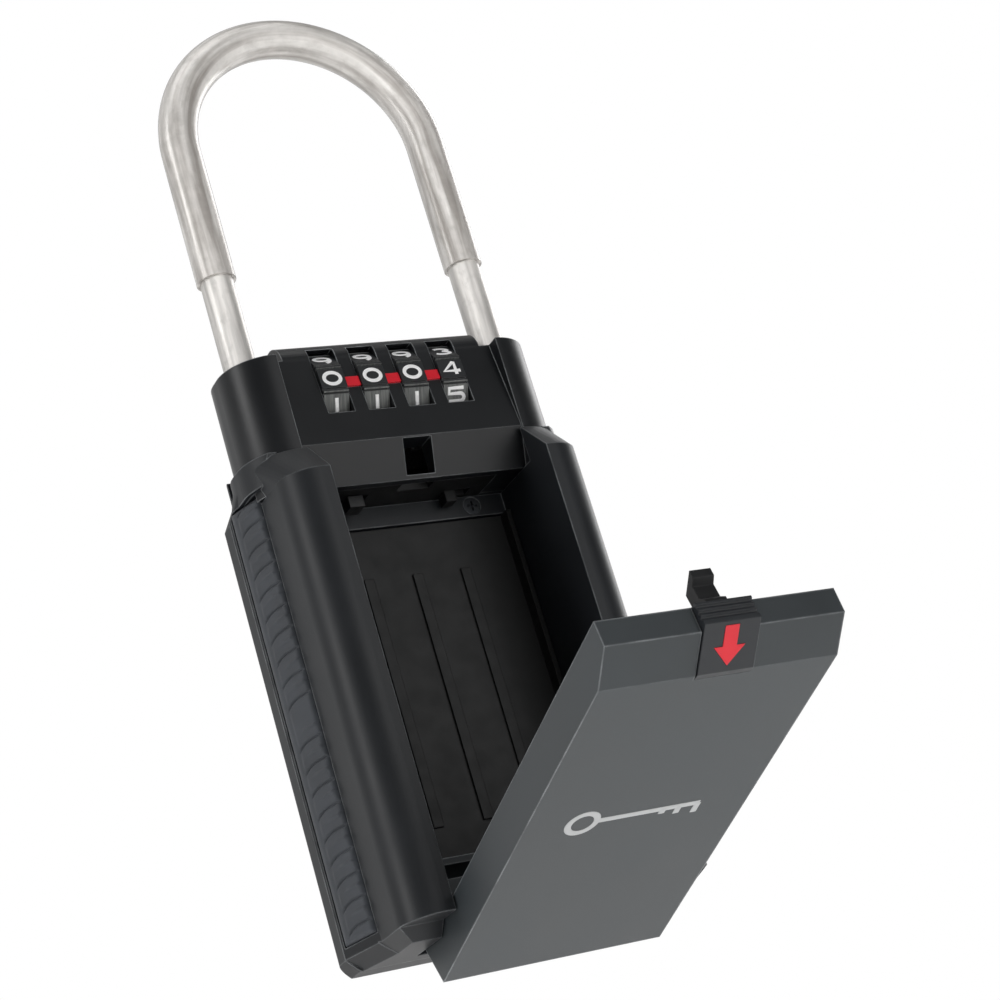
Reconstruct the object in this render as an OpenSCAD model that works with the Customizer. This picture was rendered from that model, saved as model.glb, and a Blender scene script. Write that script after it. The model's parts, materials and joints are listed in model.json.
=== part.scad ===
// Portable key lock box: four-wheel combination head, lift-out shackle, drop-down door.
// Origin at the middle of the case's rear face, at the height of its underside.
// +X to the right, +Y out of the rear face, +Z up; the door faces -Y. Millimetres.
// The door stands open and the shackle is fully raised, which is the rest pose.

/* [Case] */
// Half width of the case across the rear cover
case_half_w = 33.3; // [33:0.1:33.6]
// Depth of the case from the rear face to the crest of the columns
case_d = 28.1; // [28:0.1:29]
// Height of the columns beside the door
column_h = 84.2; // [84:0.1:85]
// Half width of the key compartment between the columns
opening_half_w = 21.8; // [21.6:0.1:22]
// Outer half width of a column
column_half_w = 30.1; // [29.9:0.1:30.4]
// Radius of the rounded front of a column
column_r = 6.6; // [6.4:0.1:7]
// Depth of the rear cover at its edge
cover_d = 4.7; // [4.5:0.1:5]

/* [Head] */
// Outer half width of the combination head
head_half_w = 31.4; // [31.2:0.1:31.5]
// Height of the top of the pillars above the underside of the case
pillar_top = 110.3; // [110:0.1:111]
// Height of the top of the middle of the head
head_top = 114.4; // [114.3:0.1:115]
// Radius of the rounded front of a pillar
pillar_r = 9; // [8.8:0.1:9]
// Radius of the rear corners of the head
head_rear_r = 8; // [7.8:0.1:8.1]

/* [Wheels] */
// Distance between neighbouring wheels
wheel_pitch = 8.2; // [8.1:0.1:8.4]
// Width of a wheel
wheel_w = 5.1; // [4.8:0.1:5.2]
// Radius of a wheel to the middle of a facet
wheel_flat_r = 8.2; // [8:0.1:8.2]

/* [Shackle] */
// Half of the distance between the legs
leg_half = 26; // [25.9:0.05:26.1]
// Diameter of the rod
rod_d = 6.3; // [6.1:0.1:6.3]
// Outer diameter of the clear sleeve
sleeve_d = 7.6; // [7.4:0.1:7.8]
// Height of the centre line of the bow when the shackle is raised
bow_top = 184.4; // [180:0.1:190]
// Height of the lower ends of the sleeve when the shackle is raised
sleeve_end = 130.7; // [130:0.1:134]
// Travel of the shackle from raised to locked
shackle_travel = 19.5; // [19:0.1:19.6]

/* [Door] */
// Half width of the door
door_half_w = 21.4; // [21:0.1:21.4]
// Thickness of the door
door_t = 7.5; // [7:0.1:7.6]
// Angle to which the door stands open
door_open = 73.6; // [0:0.1:90]
// Travel of the latch tab along the sloping top of the door
latch_travel = 2.5; // [2:0.1:2.5]

/* [Hidden] */
$fn = 96;
eps = 0.01;
run = 0.05;             // radial clearance of a running fit
fit = 0.02;             // clearance between pieces that are fixed together
far = 60;               // reach of a cutter that only has to pass the part

// case
column_front = -case_d;
column_cx = column_half_w - column_r;
column_cy = column_front + column_r;
cover_front = -cover_d;
slant_front = -14.3;    // where the side begins to widen towards the rear cover
slant = [case_half_w - column_half_w, cover_front - slant_front];
slant_len = norm(slant);
slant_angle = atan2(slant[1], slant[0]);
column_foot = 2.4;      // height at which the rounded front of a column ends
foot_y = [-22.5, -19.9]; // the slope below it that leads down to the underside
foot_in = 2.8;          // depth of its side bevel
cover_bevel = 2.3;      // at the lower corners of the rear cover
cover_wall = 1.6;
cover_corner = 2;
floor_t = 2.2;
floor_front = -8.3;
bar_front = -6.6;       // front of the cross bars that join the columns
liner_z = [6.7, 79.8];
top_wall = 80;          // underside of the wall that closes a column
leg_step = 82.2;        // where the bore for the rod narrows to the bore for its neck
pocket = [23.4, 28];    // inner and outer face of the hollow in a column
pocket_front = -25.3;

// fasteners
screw_r = 1.1;
screw_head_r = 1.7;
screw_head_t = 1.2;
cover_screw_r = 1;
cover_screw_head_t = 0.9;

// rubber grips
grip_z = [4.2, 86];
grip_margin = [0.4, 0.7]; // towards the front and towards the rear
grip_depth = 1.1;
grip_proud = 0.25;
rib_pitch = 4.27;
rib_count = 18;
rib_r = 2.6;
rib_rise = 0.55;

// head
seat_z = column_h + 0.1;
pillar_cx = head_half_w - pillar_r;
pillar_front = -20.7;
pillar_cy = pillar_front + pillar_r;
head_rear_cx = head_half_w - head_rear_r;
head_rear_cy = -9.5;
head_back = head_rear_cy + head_rear_r;
head_split = -7.5;
middle_half_w = 20.4;
face_half_w = 22.6;
crease = [-20.3, 91.8]; // [y, z] of the line where the face turns into the band above the door
band_foot = -17.4;
face_round = 4.5;       // radius of the roll from the face into the top
face_top = [-17.7, head_top - face_round];
face_lean = atan2(face_top[0] - crease[0], face_top[1] - crease[1]);
cap_top = 91;           // where the sloping cap of a column meets the head
cap_lip = 0.5;
collar_t = 1;
collar_z = [86, 91.5];
collar_front = [-17.3, -19.4]; // at its lower and at its upper edge
collar_split = -5;
tongue_half_w = 31.9;
tongue_corner = 6;
tongue_z = [87.7, 92.5];

// wheels
wheel_y = -11.1;
wheel_z = 104.5;
wheel_r = wheel_flat_r / cos(18);
facet_tilt = 5;         // upward lean of the facet that shows beside the red marks
slot_w = wheel_w + 0.24;
slot_r = wheel_r + 0.25;
slot_z = [98.2, 112.4];
shaft_r = 2;
shaft_half = 19.5;
cam_sleeve_r = 3.4;
cam_r = 4.5;
cam_w = 2;
chamber_half_w = 17;
chamber_r = 4.9;
chamber_y = [wheel_y, -2.7];
chamber_z = [94, 113.75];
gate_z = [seat_z, 94];
hook_slot_z = [85.1, 91.5];
hook_slot_x = [-2.3, 3.5];
gate_front = -15.4;
plate_back = -4.4;
lever_x = 8.2;
lever_travel = 3;

// shackle
leg_y = -11.3;
rod_r = rod_d / 2;
sleeve_r = sleeve_d / 2;
bow_z = bow_top - leg_half;
long_end = 102;         // where the rod of the long leg turns down to its neck
short_end = 111;
neck_r = 2.1;
neck_end = 76.6;
clip_z = 77.7;
clip_t = 2;
clip_r = 2.65;
groove_r = 1.6;
notch_h = 3.4;
notch_d = 1.6;

// bolt and its knob
bolt_z = [87.5, 90.5];
bolt_y = [-12.8, -9.8];
bolt_mid = (bolt_y[0] + bolt_y[1]) / 2;
bolt_tip = -leg_half + rod_r + 0.3;
knob_neck_r = 0.8;
bolt_end = -10.4;
bolt_stop = -7;
notch_z = (bolt_z[0] + bolt_z[1]) / 2 + shackle_travel;
knob_x = -10.9 - 0.6;
cover_z = [seat_z, seat_z + 1.5];
knob_travel = 2;

// door, drawn closed
hinge = [-14.66, 7.38]; // [y, z] of the hinge axis
pin_r = 1.25;
door_back = column_front + door_t;
door_foot = 3.64;
door_foot_back = 2.2;
door_crease = 84.24;
band_len = 7.38;
band_tilt = 25.46;      // lean of the sloping top of the door from the upright
door_wall = 2.2;
scoop_r = 7.85;
scoop_t = 1.4;
cheek_t = 1.8;
cheek_half_w = 21.2;
latch_x = 0.6;          // the latch stands a little off the middle
tab_half_w = 5;
tab_gap = 0.15;
tab_rise = 1.4;         // height of the ribbed top of the tab above the top of the door
arm_half_w = 1.9;
latch_floor = 81.5 - latch_travel; // bottom of the space behind the latch

// ---------- helpers ----------

// Children drawn as [y, z] and carried along X, centred on x
module along_x(width, x = 0) {
    translate([x, 0, 0]) rotate([90, 0, 90]) translate([0, 0, -width / 2]) linear_extrude(width) children();
}

// Block from its low corner to its high corner
module block(low, high) {
    translate(low) cube(high - low);
}

// Child and its mirror image on the other side
module both_sides() {
    children();
    mirror([1, 0, 0]) children();
}

// A rod along Y from y0 to y1
module rod_y(x, z, r, y0, y1) {
    translate([x, y0, z]) rotate([-90, 0, 0]) cylinder(r = r, h = y1 - y0);
}

// A rod along X, centred
module rod_x(y, z, r, width, x = 0) {
    translate([x - width / 2, y, z]) rotate([0, 90, 0]) cylinder(r = r, h = width);
}

// Coil along +Z, swept as a round wire
module coil(r, wire_r, turns, length) {
    sides = 6;
    steps = 14;
    rings = turns * steps;
    points = [for (i = [0 : rings], j = [0 : sides - 1])
        let (a = i * 360 / steps, b = j * 360 / sides, rr = r + wire_r * cos(b))
        [rr * cos(a), rr * sin(a), wire_r + (length - 2 * wire_r) * i / rings + wire_r * sin(b)]];
    skin = [for (i = [0 : rings - 1], j = [0 : sides - 1])
        let (k = (j + 1) % sides)
        [i * sides + j, i * sides + k, (i + 1) * sides + k, (i + 1) * sides + j]];
    first = [for (j = [sides - 1 : -1 : 0]) j];
    last = [for (j = [0 : sides - 1]) rings * sides + j];
    polyhedron(points, concat(skin, [first], [last]));
}

// Pan-head screw along -Y, head at the origin, with a cross recess
module screw(head_r, head_t, shank_r, length) {
    recess = head_r * 0.28;
    difference() {
        union() {
            rod_y(0, 0, head_r, -head_t, 0);
            rod_y(0, 0, shank_r, -length, -head_t + eps);
        }
        block([-head_r * 0.62, -head_t * 0.55, -recess / 2], [head_r * 0.62, 1, recess / 2]);
        block([-recess / 2, -head_t * 0.55, -head_r * 0.62], [recess / 2, 1, head_r * 0.62]);
    }
}

// Places children, drawn on the closed door, where the open door holds them
module on_door() {
    translate([0, hinge[0], hinge[1]]) rotate([door_open, 0, 0]) translate([0, -hinge[0], -hinge[1]])
        children();
}

// Point on the sloping top of the closed door: u up the slope from the crease, w outwards
function band(u, w) = [
    column_front + u * sin(band_tilt) - w * cos(band_tilt),
    door_crease + u * cos(band_tilt) + w * sin(band_tilt)];

// ---------- sections ----------

// Plan of the head, grown outwards
module head_section(grow = 0) {
    for (side = [-1, 1]) {
        translate([side * head_rear_cx, head_rear_cy]) circle(r = head_rear_r + grow);
        translate([side * pillar_cx, pillar_cy]) circle(r = pillar_r + grow);
    }
    half = head_half_w + grow;
    translate([-head_rear_cx, head_rear_cy]) square([2 * head_rear_cx, head_rear_r + grow]);
    translate([-half, pillar_cy]) square([2 * half, head_rear_cy - pillar_cy]);
    front = pillar_cy - pillar_r - grow;
    translate([-pillar_cx, front]) square([2 * pillar_cx, head_rear_cy - front]);
}

// Plan of the right-hand column
module column_section() {
    intersection() {
        union() {
            translate([column_cx, column_cy]) circle(r = column_r);
            translate([opening_half_w, column_front])
                square([column_cx - opening_half_w, column_r]);
            polygon([[opening_half_w, column_cy], [column_half_w, column_cy],
                [column_half_w, slant_front], [case_half_w, cover_front],
                [opening_half_w, cover_front]]);
        }
        translate([opening_half_w, -far]) square(2 * far);
    }
}

// Places children, drawn with x along a side of the case and y out of it, where the slant starts
module on_side(angle) {
    translate([column_half_w, slant_front, 0]) rotate([0, 0, angle]) mirror([0, 1, 0]) children();
}

// ---------- case ----------

// Sloping cap of a column between y0 and y1, from its plan up to the plan of the head
module column_cap(y0, y1) {
    hull() {
        translate([0, 0, column_h - eps]) linear_extrude(eps) intersection() {
            column_section($fn = 48);
            translate([0, y0]) square([far, y1 - y0]);
        }
        translate([0, 0, cap_top]) linear_extrude(eps) intersection() {
            head_section(cap_lip, $fn = 48);
            translate([opening_half_w, y0]) square([far, y1 - y0]);
        }
    }
}

// Cutter of the bevel along the foot of a side, from s0 to s1
module foot_cutter(s0, s1) {
    rise = column_foot / foot_in;
    along_x(s1 - s0, (s0 + s1) / 2) polygon([[-foot_in - 2 / rise, -2], [far, -2],
        [far, column_foot + far * rise], [0, column_foot]]);
}

// One column with its foot bevel, cap and hollow
module column() {
    difference() {
        union() {
            intersection() {
                linear_extrude(column_h) column_section();
                along_x(2 * far) polygon([[foot_y[1], 0], [foot_y[0], column_foot],
                    [column_front, column_foot], [column_front, far * 2], [1, far * 2], [1, 0]]);
            }
            column_cap(column_front, slant_front);
            column_cap(slant_front, collar_split);
        }
        on_side(90) foot_cutter(-far, 0.9);
        on_side(slant_angle) foot_cutter(0, far);
        // hollow, open to the rear
        block([pocket[0], pocket_front, 3.2], [pocket[1], 1, top_wall]);
        grip_recess();
    }
}

// Recess for the rubber grip, which reaches up under the collar
module grip_recess() {
    on_side(slant_angle) block([grip_margin[0], -grip_depth, grip_z[0]],
        [slant_len - grip_margin[1], 2, grip_z[1]]);
}

// Collar round the side of the head, drawn on the right-hand side
module collar() {
    intersection() {
        linear_extrude(collar_z[1]) head_section(collar_t);
        along_x(far, opening_half_w + far / 2) polygon([[collar_front[0], collar_z[0]],
            [collar_front[1], collar_z[1]], [collar_split, collar_z[1]], [collar_split, collar_z[0]]]);
    }
}

module front_shell() {
    color("#24272b") difference() {
        union() {
            both_sides() {
                column();
                collar();
            }
            // rear cross bars that join the columns
            block([-opening_half_w - 1, floor_front, 0], [opening_half_w + 1, cover_front, floor_t]);
            block([-opening_half_w - 1, bar_front, floor_t - eps], [opening_half_w + 1, cover_front, 6.6]);
            block([-opening_half_w - 1, bar_front, 80], [opening_half_w + 1, cover_front, column_h]);
        }
        // seat of the head
        translate([0, 0, column_h]) linear_extrude(far) head_section(fit);
        both_sides() translate([leg_half, leg_y, leg_step]) cylinder(r = rod_r + run, h = far);
        translate([-leg_half, leg_y, top_wall - 1]) cylinder(r = neck_r + run, h = far);
        translate([-leg_half, leg_y, 55]) cylinder(r = clip_r + 0.15, h = top_wall - 55);
        rod_x(hinge[0], hinge[1], pin_r + fit, 2 * pocket[0] + 3.4);
        case_screw_places() {
            rod_y(0, 0, screw_r + fit, -far, far);
            rod_y(0, 0, screw_head_r + fit, -far, bar_front + screw_head_t + fit);
        }
    }
}

// Plan of the rear cover
module cover_section() {
    straight = case_half_w - cover_corner;
    for (side = [-1, 1]) translate([side * straight, -cover_corner]) circle(r = cover_corner);
    translate([-straight, -cover_corner]) square([2 * straight, cover_corner]);
    translate([-case_half_w, cover_front + fit]) square([2 * case_half_w, cover_d - cover_corner - fit]);
}

// Plan of the part of the rear cover that rises behind the head
module tongue_section() {
    intersection() {
        union() {
            for (side = [-1, 1]) translate([side * (tongue_half_w - tongue_corner), -tongue_corner])
                circle(r = tongue_corner, $fn = 64);
            translate([tongue_corner - tongue_half_w, -tongue_corner])
                square([2 * (tongue_half_w - tongue_corner), tongue_corner]);
        }
        translate([-far, collar_split + 0.1]) square([2 * far, far]);
    }
}

// Tongue with the upper edge of its back bevelled
module tongue() {
    bevel = 0.8;
    intersection() {
        linear_extrude(tongue_z[1]) tongue_section();
        along_x(2 * far) polygon([[-far, column_h], [0, column_h], [0, tongue_z[1] - bevel],
            [-bevel, tongue_z[1]], [-far, tongue_z[1]]]);
    }
}

// Shoulder from the plan of the cover in to the plan of its tongue
module tongue_shoulder() {
    hull() {
        translate([0, 0, column_h - eps]) linear_extrude(eps)
            cover_section($fn = 32);
        translate([0, 0, tongue_z[0]]) linear_extrude(eps) tongue_section();
    }
}

// The rear cover is held by four screws from inside the compartment
module case_screw_places() {
    for (x = [-15, 15], z = [4.3, 82.2]) translate([x, 0, z]) children();
}

module rear_cover() {
    color("#25282c") difference() {
        union() {
            intersection() {
                linear_extrude(column_h) cover_section();
                rotate([90, 0, 0]) translate([0, 0, -far]) linear_extrude(2 * far) polygon([
                    [cover_bevel - case_half_w, 0], [case_half_w - cover_bevel, 0],
                    [case_half_w, cover_bevel], [case_half_w, column_h], [-case_half_w, column_h],
                    [-case_half_w, cover_bevel]]);
            }
            tongue_shoulder();
            tongue();
        }
        translate([0, 0, column_h]) linear_extrude(far) head_section(fit);
        difference() {
            block([-case_half_w + cover_wall, cover_front - 1, cover_wall],
                [case_half_w - cover_wall, -cover_wall, column_h - 3]);
            case_screw_places() rod_y(0, 0, 2.6, -far, 0);
        }
        case_screw_places() rod_y(0, 0, screw_r + fit, -far, -1.4);
    }
}

module case_screws() {
    color("#8f9296") case_screw_places() translate([0, bar_front, 0]) mirror([0, 1, 0])
        screw(screw_head_r, screw_head_t, screw_r, 5);
}

module compartment_liner() {
    t = 1.2;
    half = opening_half_w - 0.15;
    top = liner_z[1];
    flange_foot = 15.8;     // above the reach of the door's foot
    color("#1f2225") {
        block([-half, cover_front - t, liner_z[0]], [half, cover_front - fit, top]);
        both_sides() block([half - 1, cover_front - 4, flange_foot], [half, cover_front - t + eps, top]);
        // raised pads that keep keys off the wall
        for (x = [-10, 0, 10])
            block([x - 1, cover_front - t - 0.5, 22], [x + 1, cover_front - t + eps, 70]);
    }
}

// Rubber pad with cross ribs, drawn on the right-hand side
module grip() {
    gap = [0.1, 0.15];
    pad = [slant_len - grip_margin[0] - grip_margin[1] - 2 * gap[0], grip_depth + grip_proud - fit,
        grip_z[1] - grip_z[0] - 2 * gap[1]];
    on_side(slant_angle) translate([grip_margin[0] + gap[0], fit - grip_depth, grip_z[0] + gap[1]]) {
        cube(pad);
        for (i = [0 : rib_count - 1]) intersection() {
            translate([0, pad[1] + rib_rise - rib_r, (i + 0.5) * rib_pitch + 1.6])
                rotate([0, 90, 0]) cylinder(r = rib_r, h = pad[0]);
            block([0.15, pad[1] - 0.4, 0.2], [pad[0] - 0.15, pad[1] + 2, pad[2] - 0.2]);
        }
    }
}

module right_grip() {
    color("#3a3d40") grip();
}

module left_grip() {
    color("#3a3d40") mirror([1, 0, 0]) grip();
}

// ---------- head ----------

// Side profile of the head's front between the pillars, as the space in front of it
module face_cutter() {
    roll = [for (a = [0 : 7.5 : 82.5])
        [face_top[0] + face_round * (1 - cos(a)), face_top[1] + face_round * sin(a)]];
    along_x(2 * face_half_w) polygon(concat([[-far, column_h - 1], [band_foot, column_h - 1],
        [band_foot, seat_z], crease], roll, [[face_top[0] + face_round, 2 * far], [-far, 2 * far]]));
}

// Whole head before it is split into its two halves
module head_body() {
    difference() {
        union() {
            translate([0, 0, seat_z]) linear_extrude(pillar_top - seat_z) head_section();
            intersection() {
                translate([0, 0, seat_z]) linear_extrude(head_top - seat_z) head_section();
                block([-middle_half_w, -far, 0], [middle_half_w, far, far * 2]);
            }
        }
        face_cutter();
        both_sides() grip_recess();
        // chamber behind the wheels, room for the cams, and chamber of the gate below
        block([-chamber_half_w, chamber_y[0], chamber_z[0] - eps],
            [chamber_half_w, chamber_y[1], chamber_z[1]]);
        rod_x(wheel_y, wheel_z, chamber_r, 2 * chamber_half_w);
        block([-chamber_half_w, gate_front, gate_z[0] - 1], [chamber_half_w, chamber_y[1], gate_z[1]]);
        // slots of the wheels
        for (i = [0 : 3]) {
            rod_x(wheel_y, wheel_z, slot_r, slot_w, wheel_x(i));
            block([wheel_x(i) - slot_w / 2, -far, slot_z[0]],
                [wheel_x(i) + slot_w / 2, wheel_y - cam_sleeve_r, slot_z[1]]);
        }
        // bores of the shackle's legs
        both_sides() translate([leg_half, leg_y, seat_z - 1]) cylinder(r = rod_r + run, h = far);
        // seats of the shaft
        rod_x(wheel_y, wheel_z, shaft_r + fit, 2 * shaft_half + 0.2);
        // channel of the bolt, open at the end towards the long leg
        block([-leg_half, bolt_y[0] - run, bolt_z[0] - run], [bolt_end, bolt_y[1] + run, bolt_z[1] + run]);
        block([hook_slot_x[0], -far, hook_slot_z[0]], [hook_slot_x[1], gate_front + 1, hook_slot_z[1]]);
    }
}

// Bosses on the rear half of the head that take the screws of the mechanism cover
module cover_bosses() {
    difference() {
        both_sides() block([12.8, head_split + fit, cover_z[1] + run],
            [chamber_half_w + eps, chamber_y[1] + eps, 91]);
        cover_screw_places() cylinder(r = cover_screw_r + fit, h = 5);
    }
}

function wheel_x(i) = (i - 1.5) * wheel_pitch;

module head_screw_places() {
    for (x = [-19.7, 19.7]) translate([x, 0, 93.6]) children();
}

module head_front() {
    color("#202327") difference() {
        intersection() {
            head_body();
            block([-far, -far, 0], [far, head_split, far * 2]);
        }
        // open side of the shaft's seats
        both_sides() block([chamber_half_w - 1, wheel_y, wheel_z - shaft_r - fit],
            [shaft_half + 0.1, 0, wheel_z + shaft_r + fit]);
        head_screw_places() rod_y(0, 0, 1.1 + fit, -14, 0);
        for (i = [0 : 2]) index_mark(i, fit);
    }
}

module head_rear() {
    color("#202327") difference() {
        union() {
            intersection() {
                head_body();
                block([-far, head_split + fit, 0], [far, far, far * 2]);
            }
            cover_bosses();
        }
        head_screw_places() {
            rod_y(0, 0, 1.1 + fit, -far, 0);
            rod_y(0, 0, 2 + fit, head_back - 1.7, 1);
        }
    }
}

module head_screws() {
    color("#8f9296") head_screw_places() translate([0, head_back - 0.1, 0])
        screw(2, 1.5, 1.1, 10);
}

// Red insert between two wheels, standing a little proud of the face
module index_mark(i, grow = 0) {
    mark_h = 2;
    proud = 0.4;
    y = crease[0] + (wheel_z - crease[1]) * tan(face_lean);
    half = (wheel_pitch - slot_w) / 2 - fit;
    translate([(i - 1) * wheel_pitch, y, wheel_z]) rotate([-face_lean, 0, 0])
        block([-half - grow, -proud, -mark_h / 2 - grow], [half + grow, 1, mark_h / 2 + grow]);
}

module index_marks() {
    color("#c31b2b") for (i = [0 : 2]) index_mark(i);
}

// ---------- combination ----------

module wheel_shaft() {
    color("#9b9da0") rod_x(wheel_y, wheel_z, shaft_r, 2 * shaft_half);
}

// Ten-sided wheel; two grooves at each corner give the thumb a grip
module wheel(i) {
    groove_w = 0.36;
    groove_z = 0.44;        // distance of a groove from the corner
    groove_bottom = wheel_r - 0.75;
    color("#2b2e31") translate([wheel_x(i), wheel_y, wheel_z]) difference() {
        rotate([-facet_tilt, 0, 0]) {
            rotate([0, 90, 0]) cylinder(r = wheel_r, h = wheel_w, center = true, $fn = 10);
        }
        for (k = [0 : 9], side = [-1, 1]) rotate([k * 36 + 18 - facet_tilt, 0, 0])
            translate([0, 0, side * groove_z])
                block([-far, groove_bottom, -groove_w / 2], [far, wheel_r + 1, groove_w / 2]);
        rod_x(0, 0, cam_sleeve_r + fit, far);
    }
}

module wheel_1() { wheel(0); }
module wheel_2() { wheel(1); }
module wheel_3() { wheel(2); }
module wheel_4() { wheel(3); }

// Sleeve inside a wheel, with a notched disc beside it that the locking plate feels
module cam(i) {
    notch = 1.7;
    color("#c9a24a") translate([wheel_x(i), wheel_y, wheel_z]) difference() {
        union() {
            rod_x(0, 0, cam_sleeve_r, wheel_w + cam_w, cam_w / 2);
            rod_x(0, 0, cam_r, cam_w - 0.2, wheel_w / 2 + cam_w / 2 + 0.1);
        }
        rod_x(0, 0, shaft_r + run, far);
        block([wheel_w / 2 + 0.2, cam_sleeve_r + 0.2, -notch / 2], [far, far, notch / 2]);
    }
}

module cam_1() { cam(0); }
module cam_2() { cam(1); }
module cam_3() { cam(2); }
module cam_4() { cam(3); }

// Leaf comb over the wheels, one finger to each wheel
module detent_spring() {
    t = 0.35;
    color("#b5b7b9") translate([0, 0, chamber_z[1] - t - 0.1]) {
        block([-chamber_half_w + 0.5, chamber_y[1] - 3, 0], [chamber_half_w - 0.5, chamber_y[1] - 0.1, t]);
        for (i = [0 : 3])
            block([wheel_x(i) - 1.4, wheel_y + 0.2, 0], [wheel_x(i) + 1.4, chamber_y[1] - 2, t]);
    }
}

// Plate behind the wheels, with a prong for each cam
module locking_plate() {
    color("#a9abad") {
        block([-16, plate_back - 0.8, 91.6], [16, plate_back, 96.5]);
        for (i = [0 : 3]) translate([wheel_x(i) + wheel_w / 2 + cam_w / 2 + 0.1, 0, 0])
            block([-0.9, plate_back - 2, 95.5], [0.9, plate_back, wheel_z + 0.7]);
    }
}

module locking_springs() {
    color("#c2c4c6") for (x = [-11, 11]) translate([x, plate_back + fit, 94])
        rotate([-90, 0, 0]) coil(1.2, 0.18, 2, chamber_y[1] - plate_back - 2 * fit);
}

// Floor of the gate chamber, with the stop of the bolt's spring
module mechanism_cover() {
    color("#1f2225") difference() {
        union() {
            block([-chamber_half_w + fit, gate_front + fit, cover_z[0]],
                [chamber_half_w - fit, chamber_y[1] - fit, cover_z[1]]);
            block([bolt_stop, bolt_y[0], cover_z[1] - eps], [bolt_stop + 1.2, bolt_y[1], bolt_z[1]]);
        }
        // room for the hook
        block([hook_slot_x[0] - 0.4, -far, 0], [hook_slot_x[1] + 0.4, -12.6, far * 2]);
        // windows of the reset lever and of the release knob
        block([lever_x - 0.2, -10.4, 0], [lever_x + 2.2 + lever_travel + 0.2, -7.6, far * 2]);
        block([knob_x - 1.1, bolt_mid - 1.1, 0], [knob_x + knob_travel + 1.1, bolt_mid + 1.1, far * 2]);
        cover_screw_places() {
            cylinder(r = cover_screw_r + fit, h = far, center = true);
            cylinder(r = screw_head_r + fit, h = 2 * (cover_screw_head_t + fit), center = true);
        }
    }
}

module cover_screw_places() {
    for (x = [-14.9, 14.9]) translate([x, -5.1, cover_z[0]]) children();
}

// Their heads are sunk into the mechanism cover
module cover_screws() {
    color("#8f9296") cover_screw_places()
        rotate([-90, 0, 0]) screw(screw_head_r, cover_screw_head_t, cover_screw_r, 4.4);
}

// Lever that lets a new code be set
module code_reset_lever() {
    color("#c8cacc") {
        block([lever_x - 1, -10.9, cover_z[1] + 0.1], [lever_x + 4.2, head_split - run, cover_z[1] + 1.2]);
        block([lever_x, -10.1, 82.2], [lever_x + 2.2, -7.9, cover_z[1] + 0.2]);
        block([lever_x, -8, 82.2], [lever_x + 2.2, -7.3, seat_z - 0.4]);
    }
}

// ---------- shackle ----------

module shackle() {
    color("#bfbcb8") difference() {
        union() {
            translate([-leg_half, leg_y, long_end]) cylinder(r = rod_r, h = bow_z - long_end + eps);
            translate([leg_half, leg_y, short_end]) cylinder(r = rod_r, h = bow_z - short_end + eps);
            translate([0, leg_y, bow_z]) rotate([90, 0, 0])
                rotate_extrude(angle = 180) translate([leg_half, 0]) circle(r = rod_r);
            translate([-leg_half, leg_y, neck_end]) cylinder(r = neck_r, h = long_end - neck_end + eps);
        }
        // notch that the bolt enters when the shackle is down
        block([-leg_half + rod_r - notch_d, -far, notch_z - notch_h / 2],
            [-leg_half + 2 * rod_r, far, notch_z + notch_h / 2]);
        // groove of the clip
        translate([-leg_half, leg_y, clip_z - run]) difference() {
            cylinder(r = 2 * neck_r, h = clip_t + 2 * run);
            cylinder(r = groove_r, h = far, center = true);
        }
    }
}

// Clear tube over the bow and the upper legs
module shackle_sleeve() {
    inner = rod_r + fit;
    color("#dfe2e2") {
        for (side = [-1, 1]) translate([side * leg_half, leg_y, sleeve_end]) difference() {
            cylinder(r = sleeve_r, h = bow_z - sleeve_end);
            cylinder(r = inner, h = 3 * far, center = true);
        }
        translate([0, leg_y, bow_z]) rotate([90, 0, 0])
            rotate_extrude(angle = 180) translate([leg_half, 0]) difference() {
                circle(r = sleeve_r);
                circle(r = inner);
            }
    }
}

// Ring that stops the long leg from leaving the case
module shackle_clip() {
    color("#8f9296") translate([-leg_half, leg_y, clip_z]) difference() {
        cylinder(r = clip_r, h = clip_t);
        cylinder(r = groove_r + fit, h = far, center = true);
    }
}

module shackle_bolt() {
    color("#a9abad") difference() {
        block([bolt_tip, bolt_y[0], bolt_z[0]], [bolt_end, bolt_y[1], bolt_z[1]]);
        translate([knob_x, bolt_mid, bolt_z[0] - 1]) cylinder(r = knob_neck_r + fit, h = far);
    }
}

module release_knob() {
    color("#3a3d40") {
        translate([knob_x, bolt_mid, 83]) cylinder(r = knob_neck_r, h = bolt_z[1] - 83);
        block([knob_x - 1.5, bolt_mid - 2, 81.8], [knob_x + 1.5, bolt_mid + 2, seat_z - 0.3]);
    }
}

module bolt_spring() {
    color("#c2c4c6") translate([bolt_end + fit, bolt_mid, notch_z - shackle_travel])
        rotate([0, 90, 0]) coil(1.1, 0.16, 3, bolt_stop - bolt_end - 2 * fit);
}

// ---------- door ----------

module hinge_pin() {
    color("#9b9da0") rod_x(hinge[0], hinge[1], pin_r, 2 * pocket[0] + 3);
}

// Side outline of the closed door
module door_outline() {
    top = band(band_len, 0);
    polygon([[column_front, door_foot], [column_front, door_crease], top, [door_back, top[1] + 0.5],
        [door_back, door_foot_back]]);
}

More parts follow.
